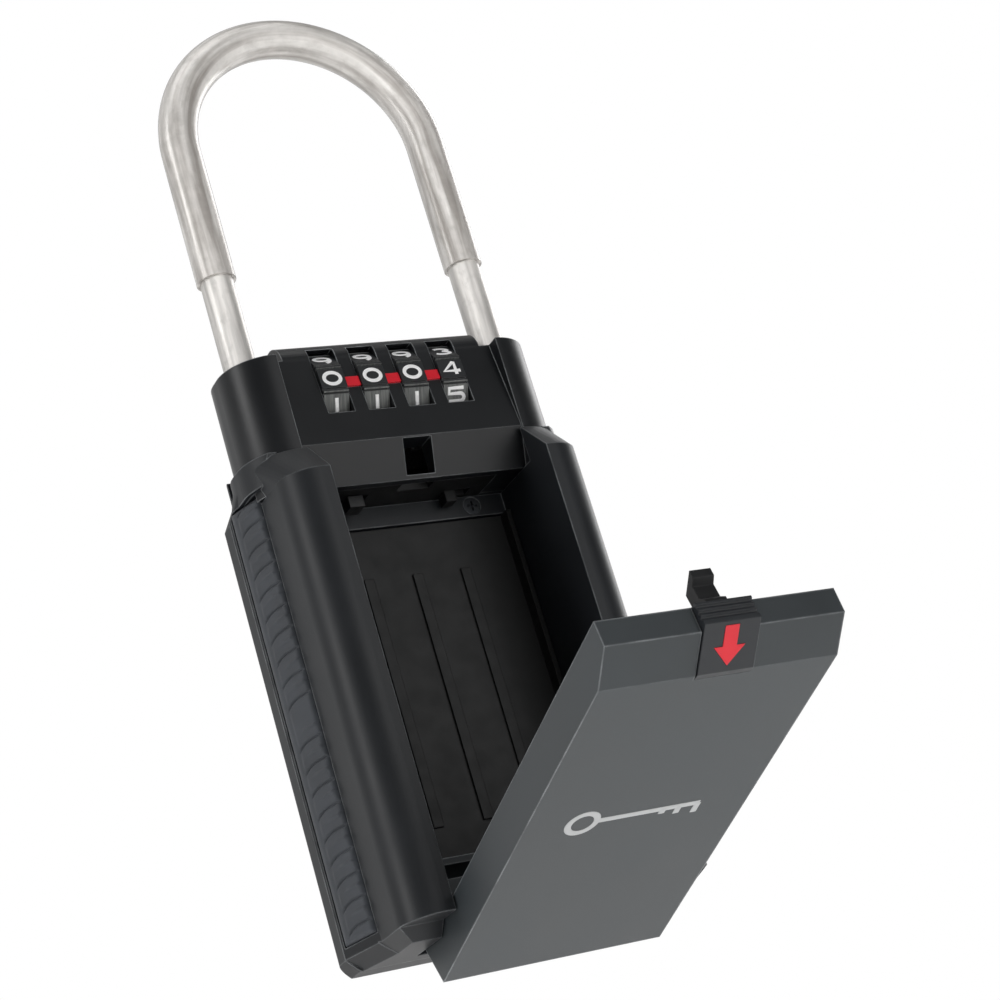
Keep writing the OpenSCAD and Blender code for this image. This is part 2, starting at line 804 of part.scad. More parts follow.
// Panel, curved foot round the hinge, and a cut for the latch
module door_closed() {
    top = band(band_len, 0);
    difference() {
        union() {
            along_x(2 * door_half_w) door_outline();
            // foot that closes the bottom of the box
            difference() {
                rod_x(hinge[0], hinge[1], scoop_r, 2 * cheek_half_w);
                rod_x(hinge[0], hinge[1], scoop_r - scoop_t, 2 * (cheek_half_w - cheek_t));
                along_x(2 * far) polygon([[0, hinge[1]], [hinge[0], hinge[1]],
                    [hinge[0] + 0.1, hinge[1] + far], [far, hinge[1] + far], [far, hinge[1] - far],
                    [-6, hinge[1] - 7.5]]);
            }
            both_sides() rod_x(hinge[0], hinge[1], 3, cheek_t, cheek_half_w - cheek_t / 2);
        }
        // hollow of the panel
        difference() {
            block([-door_half_w + door_wall, column_front + door_wall, 14],
                [door_half_w - door_wall, 0, 76]);
            for (z = [34, 56]) block([-far, -far, z - 0.7], [far, door_back - 2.5, z + 0.7]);
            for (x = [-8, 8]) block([x - 0.7, -far, 0], [x + 0.7, door_back - 2.5, far * 2]);
        }
        rod_x(hinge[0], hinge[1], pin_r + run, far * 2);
        latch_space();
        // blind holes of the latch's screws
        latch_screw_places() rod_y(0, 0, 0.9 + fit, -5, far);
    }
}

// Room for the latch and its travel
module latch_space() {
    width = 2 * (tab_half_w + tab_gap);
    along_x(width, latch_x) polygon([band(-0.95, -0.42), band(-0.95, 4), band(20, 4), band(20, -0.42)]);
    along_x(width, latch_x) polygon([band(0.2, 0.5), band(20, 0.5), [far, door_crease + 30],
        [far, latch_floor], [band(0.2, -3.6)[0], latch_floor], band(0.2, -3.6)]);
}

module door() {
    color("#43474a") on_door() door_closed();
}

module latch_screw_places() {
    for (x = [-9, 9]) translate([x, door_back, 82]) children();
}

// Sliding tab with ribs for the thumb
module latch_tab() {
    top = band(band_len + tab_rise, 0.3);
    rear = [door_back - 0.1, top[1] + 0.3];
    color("#303437") on_door() difference() {
        along_x(2 * tab_half_w, latch_x) polygon([band(-0.7, -0.36), band(0.3, 0.3), top, rear,
            [door_back + 0.1, rear[1] - 0.6], [door_back + 0.1, 88.4], band(3, -3.2), band(3, -0.36)]);
        // grooves between the ribs
        for (t = [0.3, 0.55, 0.8]) along_x(far) translate(top + t * (rear - top))
            circle(r = 0.34, $fn = 24);
        arrow(0.45);
    }
}

// Arrow that shows the way the tab slides
module arrow(depth) {
    middle = band(4.7, 0.3);
    translate([latch_x, middle[0], middle[1]]) rotate([90 - band_tilt, 0, 0])
        translate([0, 0, -depth]) linear_extrude(depth + 0.06) polygon([
            [-1.25, 3.4], [1.25, 3.4], [1.25, -0.1], [2.8, -0.1], [0, -3.4], [-2.8, -0.1], [-1.25, -0.1]]);
}

module latch_arrow() {
    color("#c31b2b") on_door() arrow(0.43);
}

// Hook that reaches through the slot in the head when the door is shut
module latch_hook() {
    arm = [87.4, 89.9];
    nose = [-13.6, 91.1]; // [y, z] of its tip, from which a slanted edge runs down to the arm
    root = door_back + 0.12;
    color("#17191b") on_door() along_x(2 * arm_half_w, latch_x) polygon([[root, 91.1],
        [root + 1.3, 91.1], [root + 2.3, arm[1]], [nose[0] - 2.2, arm[1]], [nose[0] - 1.4, nose[1]],
        nose, [nose[0] - 1.9, arm[0]], [root + 1.3, arm[0]], [root, 86.4]]);
}

module latch_spring() {
    color("#c2c4c6") on_door() translate([latch_x, -23, latch_floor + fit])
        coil(1.3, 0.2, 5, 85.75 - latch_floor);
}

// Plate on the inside of the door that guards the latch
module latch_cover() {
    color("#1f2225") on_door() difference() {
        block([-12, door_back + fit, 77], [12, door_back + 1.1, 84.6]);
        latch_screw_places() rod_y(0, 0, 0.9 + fit, -1, far);
    }
}

module latch_screws() {
    color("#8f9296") on_door() latch_screw_places() translate([0, 1.1 + 0.9 + fit, 0])
        screw(1.6, 0.9, 0.9, 6);
}

front_shell();
rear_cover();
head_front();
head_rear();
left_grip();
right_grip();
compartment_liner();
case_screws();
head_screws();
index_marks();
wheel_shaft();
wheel_1();
wheel_2();
wheel_3();
wheel_4();
cam_1();
cam_2();
cam_3();
cam_4();
detent_spring();
locking_plate();
locking_springs();
mechanism_cover();
cover_screws();
code_reset_lever();
shackle_bolt();
release_knob();
bolt_spring();
shackle();
shackle_sleeve();
shackle_clip();
hinge_pin();
door();
latch_tab();
latch_arrow();
latch_hook();
latch_spring();
latch_cover();
latch_screws();
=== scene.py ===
"""Looks of the key lock box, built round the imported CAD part. Metres, in the CAD's frame.

+X right, +Y out of the rear face, +Z up; the door faces -Y and stands open at rest.
"""

import json
import math

import bmesh
import bpy
from mathutils import Matrix, Vector


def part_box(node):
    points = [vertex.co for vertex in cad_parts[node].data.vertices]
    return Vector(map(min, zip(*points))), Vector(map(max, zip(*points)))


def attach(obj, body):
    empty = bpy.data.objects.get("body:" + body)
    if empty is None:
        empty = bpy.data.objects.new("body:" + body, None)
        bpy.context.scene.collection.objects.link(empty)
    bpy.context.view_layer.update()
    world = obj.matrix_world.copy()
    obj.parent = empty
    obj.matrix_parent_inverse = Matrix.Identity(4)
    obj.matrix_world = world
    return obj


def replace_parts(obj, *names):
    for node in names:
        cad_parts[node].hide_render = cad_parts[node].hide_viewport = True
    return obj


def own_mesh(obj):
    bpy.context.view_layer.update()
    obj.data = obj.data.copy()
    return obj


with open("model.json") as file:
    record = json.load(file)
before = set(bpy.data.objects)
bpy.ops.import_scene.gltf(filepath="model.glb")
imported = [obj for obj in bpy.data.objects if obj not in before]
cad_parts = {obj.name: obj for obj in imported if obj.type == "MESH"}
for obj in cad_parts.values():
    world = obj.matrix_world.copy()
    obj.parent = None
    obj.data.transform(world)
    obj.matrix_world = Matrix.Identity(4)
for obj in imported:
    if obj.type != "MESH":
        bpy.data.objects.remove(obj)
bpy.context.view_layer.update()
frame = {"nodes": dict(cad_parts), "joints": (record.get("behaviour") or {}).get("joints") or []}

MM = 0.001
SLANT = math.atan2(9.6, 3.2)  # plan angle of the case's slanted sides, which hold the grips
FACET_STEP = 36  # degrees from one facet of a number wheel to the next
FACET_TILT = 5  # upward lean, in degrees, of the wheel facet beside the red marks
SHOWN = [0, 0, 0, 4]  # figures on those facets
EDGE_HIGHLIGHT_AND_WEAR = "#a3a7aa"  # painted edge highlight, partly also coating rubbed through
# painted sheen on the wheel facets that face down
DOWN_FACET_SHEEN = "#7f827f"
JOINTS = {joint["name"]: joint for joint in frame["joints"]}

AIM = Vector((12.2, -22.4, 76.3)) * MM  # the camera and the lamps look at this point
CAMERA_ANGLES = (-29.73, -19.48, 17.1)  # azimuth, elevation and roll, in degrees
CAMERA_DISTANCE = 0.455
LENS_MM, SENSOR_MM = 89.46, 36
FLOOR_HEIGHT, FLOOR_REACH = -0.16, 6.0

# name, azimuth and elevation in degrees, distance, width, height, power in watts
LAMPS = (
    ("key_left", -84, 18, 0.9, 0.22, 1.0, 3.0),
    ("fill_front", 14, 2, 1.1, 0.7, 1.0, 3.4),
    ("top", -10, 78, 0.9, 0.8, 0.5, 2.2),
    ("rim_right", 112, 20, 0.9, 0.4, 0.9, 4.0),
    ("under_right", 34, -34, 0.7, 0.4, 0.3, 0.6),
    ("below", 0, -76, 0.8, 0.6, 0.6, 0.5),
    ("floor_wash", 0, 90, 3.0, 4.0, 4.0, 60.0),
    ("steel_front", -30, 10, 1.0, 1.0, 0.8, 5.0),
)


# ---------- shader graphs ----------


class Graph:
    """The shader nodes of one material."""

    def __init__(self, name):
        self.material = bpy.data.materials.new(name)
        self.material.use_nodes = True
        self.tree = self.material.node_tree
        self.tree.nodes.clear()
        self.output = self.add("ShaderNodeOutputMaterial")
        self.position = self.add("ShaderNodeTexCoord").outputs["Object"]

    def add(self, kind, inputs=None, **settings):
        """New node; inputs holds a value or another node's socket for each input."""
        node = self.tree.nodes.new(kind)
        for key, value in settings.items():
            setattr(node, key, value)
        for key, value in (inputs or {}).items():
            self.put(node.inputs[key], value)
        return node

    def put(self, socket, value):
        if isinstance(value, bpy.types.NodeSocket):
            self.tree.links.new(value, socket)
        else:
            socket.default_value = value

    def math(self, operation, a, b=0.0):
        return self.add("ShaderNodeMath", {0: a, 1: b}, operation=operation).outputs[0]

    def noise(self, scale, detail=2.0, rough=0.5, vector=None):
        """Noise around 0.5, with about 'scale' cells to the metre."""
        inputs = {"Vector": vector or self.position, "Scale": scale, "Detail": detail, "Roughness": rough}
        return self.add("ShaderNodeTexNoise", inputs).outputs["Fac"]

    def remap(self, value, low, high, to_low, to_high):
        inputs = {"Value": value, "From Min": low, "From Max": high, "To Min": to_low, "To Max": to_high}
        return self.add("ShaderNodeMapRange", inputs).outputs["Result"]

    def mix(self, fac, a, b):
        node = self.add("ShaderNodeMix", {"Factor": fac}, data_type="RGBA")
        self.put(node.inputs["A"], a)
        self.put(node.inputs["B"], b)
        return node.outputs["Result"]

    def rounded(self, radius, samples=6):
        """Normal that reads as if every edge had this radius."""
        return self.add("ShaderNodeBevel", {"Radius": radius}, samples=samples).outputs["Normal"]

    def edges(self, normal, low=0.004, high=0.12):
        """1 along edges and 0 on flat faces, from how far the rounded normal leaves the face's own."""
        face = self.add("ShaderNodeNewGeometry").outputs["True Normal"]
        dot = self.add("ShaderNodeVectorMath", {0: normal, 1: face}, operation="DOT_PRODUCT")
        return self.remap(self.math("SUBTRACT", 1.0, dot.outputs["Value"]), low, high, 0.0, 1.0)

    def bump(self, height, distance, strength, normal=None):
        inputs = {"Height": height, "Distance": distance, "Strength": strength}
        if normal:
            inputs["Normal"] = normal
        return self.add("ShaderNodeBump", inputs).outputs["Normal"]

    def surface(self, **inputs):
        """Principled surface; underscores in the names stand for spaces."""
        node = self.add("ShaderNodeBsdfPrincipled", {k.replace("_", " "): v for k, v in inputs.items()})
        self.put(self.output.inputs["Surface"], node.outputs[0])


def rgb(hexcode):
    """Linear colour of an sRGB hex code."""
    channels = [int(hexcode[i : i + 2], 16) / 255 for i in (1, 3, 5)]
    return [((c + 0.055) / 1.055) ** 2.4 if c > 0.04045 else c / 12.92 for c in channels] + [1.0]


def scaled(colour, factor):
    """A darker or lighter version of a linear colour."""
    return [c * factor for c in colour[:3]] + [1.0]


# ---------- materials ----------


def coated_metal(name, colour, rough, radius=0.4 * MM, highlight_and_wear=0.6):
    """Die-cast metal under a fine satin coating, painted lighter here and there along its edges: a
    painted edge highlight, partly also rubbed coating.
    """
    g = Graph(name)
    base = rgb(colour)
    normal = g.rounded(radius)
    cloud = g.noise(45.0, 4.0)
    speck = g.noise(5200.0, 2.0, 0.6)
    tone = g.mix(g.remap(cloud, 0.3, 0.7, 0.0, 1.0), scaled(base, 0.86), scaled(base, 1.16))
    # painted edge highlight, partly wear: edges lightened in patches where the rounded normal leaves the
    # face's own
    edge = g.math("MULTIPLY", g.edges(normal), g.remap(g.noise(260.0, 3.0), 0.35, 0.65, 0.35, 1.0))
    tone = g.mix(g.math("MULTIPLY", edge, highlight_and_wear), tone, rgb(EDGE_HIGHLIGHT_AND_WEAR))
    uneven = g.remap(cloud, 0.3, 0.7, rough - 0.04, rough + 0.04)
    roughness = g.math("ADD", uneven, g.remap(speck, 0, 1, -0.05, 0.05))
    g.surface(
        Base_Color=tone,
        Roughness=roughness,
        Specular_IOR_Level=0.5,
        Normal=g.bump(speck, 0.012 * MM, 0.5, normal),
    )
    return g.material


def moulded_plastic(name, colour, rough, radius=0.2 * MM, gloss=0.0):
    """Moulded plastic with a spark-eroded grain."""
    g = Graph(name)
    base = rgb(colour)
    normal = g.rounded(radius, 4)
    grain = g.noise(7000.0, 2.0)
    tone = g.mix(g.noise(120.0, 3.0), scaled(base, 0.88), scaled(base, 1.12))
    g.surface(
        Base_Color=tone,
        Roughness=g.remap(g.noise(300.0, 3.0), 0.3, 0.7, rough - 0.05, rough + 0.05),
        Coat_Weight=gloss,
        Coat_Roughness=0.12,
        Normal=g.bump(grain, 0.006 * MM, 0.5, normal),
    )
    return g.material


def wheel_plastic(name, colour):
    """Moulded plastic with a painted sheen: the facets that face down at rest are painted lighter, in
    streaks, for the light from below that they catch.
    """
    streak_scale = (2600.0, 160.0, 160.0)  # fine along the shaft, so that the streaks run round it
    plain_slope, sheen_slope = -0.35, -0.5  # Z of the facet's normal
    g = Graph(name)
    base = rgb(colour)
    stretch = g.add("ShaderNodeMapping", {"Vector": g.position, "Scale": streak_scale}).outputs[0]
    streaks = g.noise(1.0, 3.0, 0.6, stretch)
    normal = g.add("ShaderNodeTexCoord").outputs["Normal"]
    slope = g.add("ShaderNodeSeparateXYZ", {0: normal}).outputs["Z"]
    # painted sheen: a lighter colour on the facets that face down, where light from below catches them
    facing_down = g.remap(slope, plain_slope, sheen_slope, 0.0, 1.0)
    painted_sheen = g.math("MULTIPLY", facing_down, g.remap(streaks, 0.35, 0.65, 0.25, 0.75))
    tone = g.mix(g.noise(300.0, 3.0), scaled(base, 0.85), scaled(base, 1.15))
    g.surface(
        Base_Color=g.mix(painted_sheen, tone, rgb(DOWN_FACET_SHEEN)),
        Roughness=g.remap(streaks, 0.3, 0.7, 0.3, 0.42),
        Normal=g.bump(streaks, 0.008 * MM, 0.5, g.rounded(0.15 * MM, 4)),
    )
    return g.material


def grip_rubber(name, colour):
    """Matt rubber: fine pores, a sheen, and dusty patches."""
    g = Graph(name)
    base = rgb(colour)
    pores = g.noise(3800.0, 3.0, 0.65)
    dust = g.noise(150.0, 5.0)
    tone = g.mix(g.remap(dust, 0.35, 0.7, 0.0, 1.0), scaled(base, 0.85), scaled(base, 1.2))
    g.surface(
        Base_Color=tone,
        Roughness=g.remap(dust, 0.3, 0.7, 0.52, 0.66),
        Specular_IOR_Level=0.42,
        Sheen_Weight=0.12,
        Sheen_Roughness=0.6,
        Normal=g.bump(pores, 0.02 * MM, 0.6),
    )
    return g.material


def plain_metal(name, colour, rough, streak=(1.0, 1.0, 1.0)):
    """Plated or turned metal with faint tool marks; 'streak' shortens the marks along an axis."""
    g = Graph(name)
    base = rgb(colour)
    stretch = g.add("ShaderNodeMapping", {"Vector": g.position, "Scale": streak}).outputs[0]
    marks = g.noise(2400.0, 3.0, 0.6, stretch)
    tone = g.mix(g.noise(200.0, 3.0), scaled(base, 0.8), scaled(base, 1.1))
    g.surface(
        Base_Color=tone,
        Metallic=1.0,
        Roughness=g.remap(marks, 0.3, 0.7, rough - 0.08, rough + 0.08),
        Normal=g.bump(marks, 0.006 * MM, 0.5, g.rounded(0.12 * MM, 4)),
    )
    return g.material


def along_rod(g):
    """Coordinates that follow the shackle up one leg, round the bow and down the other.

    Returns a function of the scales across and along the rod, in noise cells to the metre.
    """
    low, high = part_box("shackle")
    rod_r = (high.y - low.y) / 2
    leg_half = (high.x - low.x) / 2 - rod_r
    leg_y = (high.y + low.y) / 2
    bow_z = high.z - rod_r - leg_half
    split = g.add("ShaderNodeSeparateXYZ", {0: g.position}).outputs
    above = g.math("MAXIMUM", g.math("SUBTRACT", split["Z"], bow_z), 0.0)
    below = g.math("MINIMUM", g.math("SUBTRACT", split["Z"], bow_z), 0.0)
    side = g.math("ABSOLUTE", split["X"])
    squares = g.math("ADD", g.math("MULTIPLY", side, side), g.math("MULTIPLY", above, above))
    across = g.math("SUBTRACT", g.math("SQRT", squares), leg_half)
    turn = g.math("ARCTAN2", above, side)
    along = g.math("ADD", below, g.math("MULTIPLY", turn, leg_half))
    depth = g.math("SUBTRACT", split["Y"], leg_y)

    def stretched(fine, slow):
        scales = {"X": (across, fine), "Y": (depth, fine), "Z": (along, slow)}
        parts = {key: g.math("MULTIPLY", value, scale) for key, (value, scale) in scales.items()}
        return g.add("ShaderNodeCombineXYZ", parts).outputs[0]

    return stretched


def rod_steel(name, colour):
    """Drawn steel with lines, bands and stains that run along the rod, and painted shade that darkens it
    towards its rims.
    """
    g = Graph(name)
    base = rgb(colour)
    stretched = along_rod(g)
    lines = g.noise(1.0, 3.0, 0.6, stretched(3800.0, 45.0))
    bands = g.noise(1.0, 3.0, 0.5, stretched(700.0, 60.0))
    stains = g.noise(1.0, 4.0, 0.6, stretched(500.0, 330.0))
    tone = g.mix(g.remap(bands, 0.35, 0.65, 0.0, 1.0), scaled(base, 0.66), base)
    tone = g.mix(g.remap(stains, 0.52, 0.7, 0.0, 0.4), tone, scaled(base, 0.45))
    # painted shade: the steel is darkened towards its outline
    rim = g.add("ShaderNodeLayerWeight", {"Blend": 0.3}).outputs["Facing"]
    tone = g.mix(g.remap(rim, 0.45, 0.95, 0.0, 0.6), tone, scaled(base, 0.3))
    height = g.math("ADD", lines, g.math("MULTIPLY", stains, 0.5))
    g.surface(
        Base_Color=tone,
        Metallic=0.45,
        Roughness=g.remap(lines, 0.25, 0.75, 0.3, 0.46),
        Normal=g.bump(height, 0.02 * MM, 0.45),
    )
    return g.material


def clear_tube(name):
    """Soft clear plastic that hugs the rod and magnifies it, so that the steel seems to fill it; painted
    shade darkens it towards its outline.
    """
    g = Graph(name)
    stretched = along_rod(g)
    bands = g.noise(1.0, 3.0, 0.5, stretched(560.0, 40.0))
    smears = g.noise(1.0, 4.0, 0.6, stretched(320.0, 160.0))
    tone = g.mix(g.remap(bands, 0.36, 0.64, 0.0, 1.0), rgb("#a5a09b"), rgb("#e2dfdb"))
    tone = g.mix(g.remap(smears, 0.54, 0.72, 0.0, 0.4), tone, rgb("#8d8781"))
    # painted shade: the sleeve is darkened towards its outline
    rim = g.add("ShaderNodeLayerWeight", {"Blend": 0.3}).outputs["Facing"]
    tone = g.mix(g.remap(rim, 0.5, 0.95, 0.0, 0.75), tone, rgb("#77736f"))
    magnified = g.add(
        "ShaderNodeBsdfPrincipled",
        {
            "Base Color": tone,
            "Metallic": 0.25,
            "Roughness": 0.34,
            "Coat Weight": 0.5,
            "Coat Roughness": 0.08,
            "Normal": g.bump(smears, 0.03 * MM, 0.4),
        },
    ).outputs[0]
    clear = g.add("ShaderNodeBsdfTransparent", {"Color": (0.97, 0.97, 0.96, 1.0)}).outputs[0]
    amount = g.remap(g.noise(420.0, 4.0, 0.6), 0.35, 0.7, 0.82, 0.94)
    mixed = g.add("ShaderNodeMixShader", {0: amount, 1: clear, 2: magnified}).outputs[0]
    g.put(g.output.inputs["Surface"], mixed)
    return g.material


def printed(name, colour, rough):
    """Thick paint, slightly uneven."""
    g = Graph(name)
    base = rgb(colour)
    tone = g.mix(g.noise(900.0, 3.0), scaled(base, 0.9), base)
    g.surface(
        Base_Color=tone,
        Roughness=g.remap(g.noise(1200.0, 2.0), 0.3, 0.7, rough - 0.06, rough + 0.06),
        Normal=g.bump(g.noise(2600.0, 2.0), 0.01 * MM, 0.5),
    )
    return g.material


def dress(names, material):
    """Gives CAD nodes a material, through their material slots."""
    for name in names:
        node = frame["nodes"][name]
        if not node.material_slots:
            node.data.materials.append(material)
        for slot in node.material_slots:
            slot.material = material


# ---------- new pieces ----------


def piece(name, mesh, material, body):
    """Adds a mesh that rides on a CAD body."""
    made = bpy.data.objects.new(name, mesh)
    mesh.materials.clear()
    mesh.materials.append(material)
    bpy.context.scene.collection.objects.link(made)
    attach(made, body)
    return made


def smoothstep(low, high, value):
    """Smooth change from 0 at low to 1 at high."""
    t = min(1.0, max(0.0, (value - low) / (high - low)))
    return t * t * (3 - 2 * t)


def rib_height(s, z):
    """Height of the rubber's ribs, 0 to 1. s runs from the front edge, z down from the top; in mm.

    A thin groove parts each rib from the next, and each has a ridge along its middle that fades
    towards the rear. The grooves curve down there. A smooth patch takes the place of two ribs.
    """
    pitch, first_groove = 4.17, 4.35
    straight, bend, drop = 2.8, 4.0, 2.1  # a groove runs level, then curves down by the drop
    end, end_fade = 6.6, 0.6
    upper_ribs, patch, patch_phase = 9, 1.9, 0.4  # the patch is as high as this many ribs
    groove_width, ridge_width = 0.09, 0.12  # on each side, as shares of the pitch
    ridge_full, ridge_gone = 2.5, 5.0
    level, tent_share, ridge_share = 0.55, 0.2, 0.25
    t = min(1.0, max(0.0, (s - straight) / bend))
    ribs = (z - first_groove - drop * (1 - math.sqrt(1 - t * t))) / pitch + 1
    if ribs > upper_ribs + patch:
        phase = (ribs - patch) % 1.0
    elif ribs > upper_ribs:
        into = ribs - upper_ribs
        phase = max(min(into, patch_phase), into - patch + 1)
    else:
        phase = ribs % 1.0
    groove = 1 - smoothstep(0.0, groove_width, min(phase, 1 - phase))
    ridge = 1 - smoothstep(0.0, ridge_width, abs(phase - 0.5))
    ridge *= 1 - smoothstep(ridge_full, ridge_gone, s)
    tent = 1 - abs(2 * phase - 1)
    depth = 1 - smoothstep(end - end_fade, end, s)
    return level + depth * (tent_share * tent + ridge_share * ridge - level * groove)


def ribbed_grip(name, node, side, material):
    """Rubber pad in the slanted recess of the case's side; side is -1 for left, 1 for right."""
    rise = 0.8 * MM
    edge_r = 0.55 * MM
    front_fade, rear_fade, end_fade = 0.9 * MM, 1.5 * MM, 1.0 * MM
    edge_share = 0.25  # how much of the ribs' height is left at the pad's edges
    columns, rows = 36, 620
    cos_a, sin_a = math.cos(SLANT), math.sin(SLANT)
    low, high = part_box(node)
    near, out = sorted((abs(low.x), abs(high.x)))
    span_x, span_y = out - near, high.y - low.y
    # a pad of this width and thickness, turned by SLANT, fills the node's box
    det = sin_a * sin_a - cos_a * cos_a
    width = (sin_a * span_y - cos_a * span_x) / det
    thick = (sin_a * span_x - cos_a * span_y) / det
    inner = Vector((near, high.y - width * sin_a, 0.0))
    along = Vector((cos_a, sin_a, 0.0))
    outward = Vector((sin_a, -cos_a, 0.0))
    length = high.z - low.z

    def point(i, j):
        s = width * i / columns
        z = length * j / rows
        inset = min(s, width - s, z, length - z)
        round_off = edge_r - math.sqrt(max(0.0, edge_r**2 - max(0.0, edge_r - inset) ** 2))
        fade = smoothstep(0.0, front_fade, s) * smoothstep(0.0, rear_fade, width - s)
        fade *= smoothstep(0.0, end_fade, z) * smoothstep(0.0, end_fade, length - z)
        ribs = rib_height(s / MM, z / MM) * rise * (edge_share + (1 - edge_share) * fade)
        place = inner + along * s + outward * (thick - rise - round_off + ribs)
        place.x *= side
        place.z = high.z - z
        return place

    bm = bmesh.new()
    grid = [[bm.verts.new(point(i, j)) for i in range(columns + 1)] for j in range(rows + 1)]
    for j in range(rows):
        for i in range(columns):
            bm.faces.new((grid[j][i], grid[j][i + 1], grid[j + 1][i + 1], grid[j + 1][i]))
    # walls down to the recess, all round the pad's border
    border = grid[0][:-1] + [row[-1] for row in grid[:-1]]
    border += grid[-1][:0:-1] + [row[0] for row in grid[:0:-1]]
    sunk = []
    for vert in border:
        flat = Vector((abs(vert.co.x), vert.co.y, 0.0)) - inner
        foot = inner + along * flat.dot(along)
        sunk.append(bm.verts.new((foot.x * side, foot.y, vert.co.z)))
    for k in range(len(border)):
        bm.faces.new((border[k - 1], border[k], sunk[k], sunk[k - 1]))
    bmesh.ops.recalc_face_normals(bm, faces=bm.faces)
    for face in bm.faces:
        face.smooth = True
    mesh = bpy.data.meshes.new(name)
    bm.to_mesh(mesh)
    bm.free()
    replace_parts(piece(name, mesh, material, "case"), node)


def arc(cx, cy, rx, ry, start, end, steps=14):
    """Points of an ellipse's arc, angles in degrees."""
    angles = [math.radians(start + (end - start) * i / steps) for i in range(steps + 1)]
    return [(cx + rx * math.cos(a), cy + ry * math.sin(a)) for a in angles]


# Strokes of the ten figures, in mm about the middle of a facet
FIGURES = {
    0: [arc(0, 0, 1.62, 1.22, 0, 360, 40)],
    1: [[(0, -1.3), (0, 1.3)]],
    2: [
        arc(0, 0.45, 1.5, 0.85, 165, 0)
        + arc(0.55, 0.42, 0.95, 0.75, 0, -75, 6)
        + [(-1.55, -1.25), (1.6, -1.25)]
    ],
    3: [arc(0.1, 0.65, 1.45, 0.6, 150, -70) + arc(0.05, -0.65, 1.55, 0.62, 75, -155)],
    4: [[(1.75, -0.5), (-1.6, -0.5), (0.45, 1.25), (0.8, 1.2), (0.8, -1.3)]],
    5: [
        [(1.6, 1.25), (-1.4, 1.25), (-1.5, 0.2)]
        + arc(0.85, -0.52, 0.75, 0.72, 88, -90)
        + [(-1.6, -1.24)]
    ],
    6: [arc(0, -0.52, 1.5, 0.74, 0, 360, 30), arc(0.1, -0.3, 1.6, 1.55, 178, 80, 12)],
    7: [[(-1.6, 1.25), (1.6, 1.25), (-0.4, -1.3)]],
    8: [arc(0, 0.62, 1.35, 0.6, 0, 360, 28), arc(0, -0.62, 1.6, 0.62, 0, 360, 30)],
    9: [arc(0, 0.52, 1.5, 0.74, 0, 360, 30), arc(-0.1, 0.3, 1.6, 1.55, -2, -75, 12)],
}


def stroke_tubes(strokes, half_width, flatten):
    """Mesh of painted strokes, given in mm: round tubes pressed almost flat, in the XY plane."""
    curve = bpy.data.curves.new("strokes", "CURVE")
    curve.dimensions = "3D"
    curve.bevel_depth = half_width
    curve.bevel_resolution = 3
    curve.use_fill_caps = True
    for points in strokes:
        spline = curve.splines.new("POLY")
        points = [(x * MM, y * MM) for x, y in points]
        closed = math.dist(points[0], points[-1]) < 1e-4
        points = points[:-1] if closed else points
        spline.points.add(len(points) - 1)
        spline.use_cyclic_u = closed
        for target, (x, y) in zip(spline.points, points):
            target.co = (x, y, 0.0, 1.0)
    holder = bpy.data.objects.new("strokes", curve)
    bpy.context.scene.collection.objects.link(holder)
    graph = bpy.context.evaluated_depsgraph_get()
    mesh = bpy.data.meshes.new_from_object(holder.evaluated_get(graph))
    bpy.data.objects.remove(holder)
    mesh.transform(Matrix.Diagonal((1.0, 1.0, flatten, 1.0)))
    return mesh


def wheel_figures(index, shown, material):
    """The ten figures of one wheel; 'shown' is the one on the facet in front."""
    half_width, flatten = 0.37 * MM, 0.17
    body = f"wheel_{index}"
    low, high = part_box(body)
    centre = (low + high) / 2
    anchor = Vector(JOINTS[f"{body}_spin"]["pos_m"])
    corner_r = (high.z - low.z) / 2 / math.cos(math.radians(FACET_TILT))
    flat_r = corner_r * math.cos(math.radians(FACET_STEP / 2))
    hub = Matrix.Translation((centre.x, anchor.y, anchor.z))
    bm = bmesh.new()
    for figure, strokes in FIGURES.items():
        tilt = math.radians(FACET_TILT - FACET_STEP * (figure - shown))
        face = Matrix.Rotation(math.pi / 2 - tilt, 4, "X")
        mesh = stroke_tubes(strokes, half_width, flatten)
        mesh.transform(hub @ face @ Matrix.Translation((0, 0, flat_r)))
        bm.from_mesh(mesh)
        bpy.data.meshes.remove(mesh)
    for f in bm.faces:
        f.smooth = True
    mesh = bpy.data.meshes.new(f"{body}_figures")
    bm.to_mesh(mesh)
    bm.free()
    piece(f"{body}_figures", mesh, material, body)


def on_open_door():
    """Matrix from the closed door to the open door of the rest pose."""
    hinge = JOINTS["door_hinge"]
    pivot = Vector(hinge["pos_m"])
    turn = Matrix.Rotation(math.radians(-hinge["range_deg"][0]), 4, Vector(hinge["axis"]))
    return Matrix.Translation(pivot) @ turn @ Matrix.Translation(-pivot)


def key_mark(material):
    """A plain key, printed on the door where a maker would put a badge."""
    half_width, flatten = 0.62 * MM, 0.09
    height = 47.5 * MM  # of the key's middle, on the closed door
    bow = arc(-10.5, 0, 2.6, 2.6, 0, 360, 40)
    shaft = [(-7.9, 0), (11.5, 0)]
    bits = [[(x, 0), (x, y)] for x, y in ((11.2, -2.6), (7.6, -2.0), (4.6, -1.3))]
    mesh = stroke_tubes([bow, shaft, *bits], half_width, flatten)
    front_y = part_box("front_shell")[0].y
    stand = Matrix.Translation((0, front_y, height)) @ Matrix.Rotation(math.pi / 2, 4, "X")
    mesh.transform(on_open_door() @ stand)
    for polygon in mesh.polygons:
        polygon.use_smooth = True
    piece("door_key_mark", mesh, material, "door")


def soft_spring(node, body, axis, material):
    """A copy of the node's coil, carried by the body in the node's place.

    Its length lies along axis, which is not used.
    """
    source = frame["nodes"][node]
    mesh = source.data.copy()
    mesh.transform(source.matrix_world)
    made = piece(f"{node}_coil", mesh, material, body)
    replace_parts(made, node)
    axis = Vector(axis).normalized()
    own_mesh(made)


# ---------- stage ----------


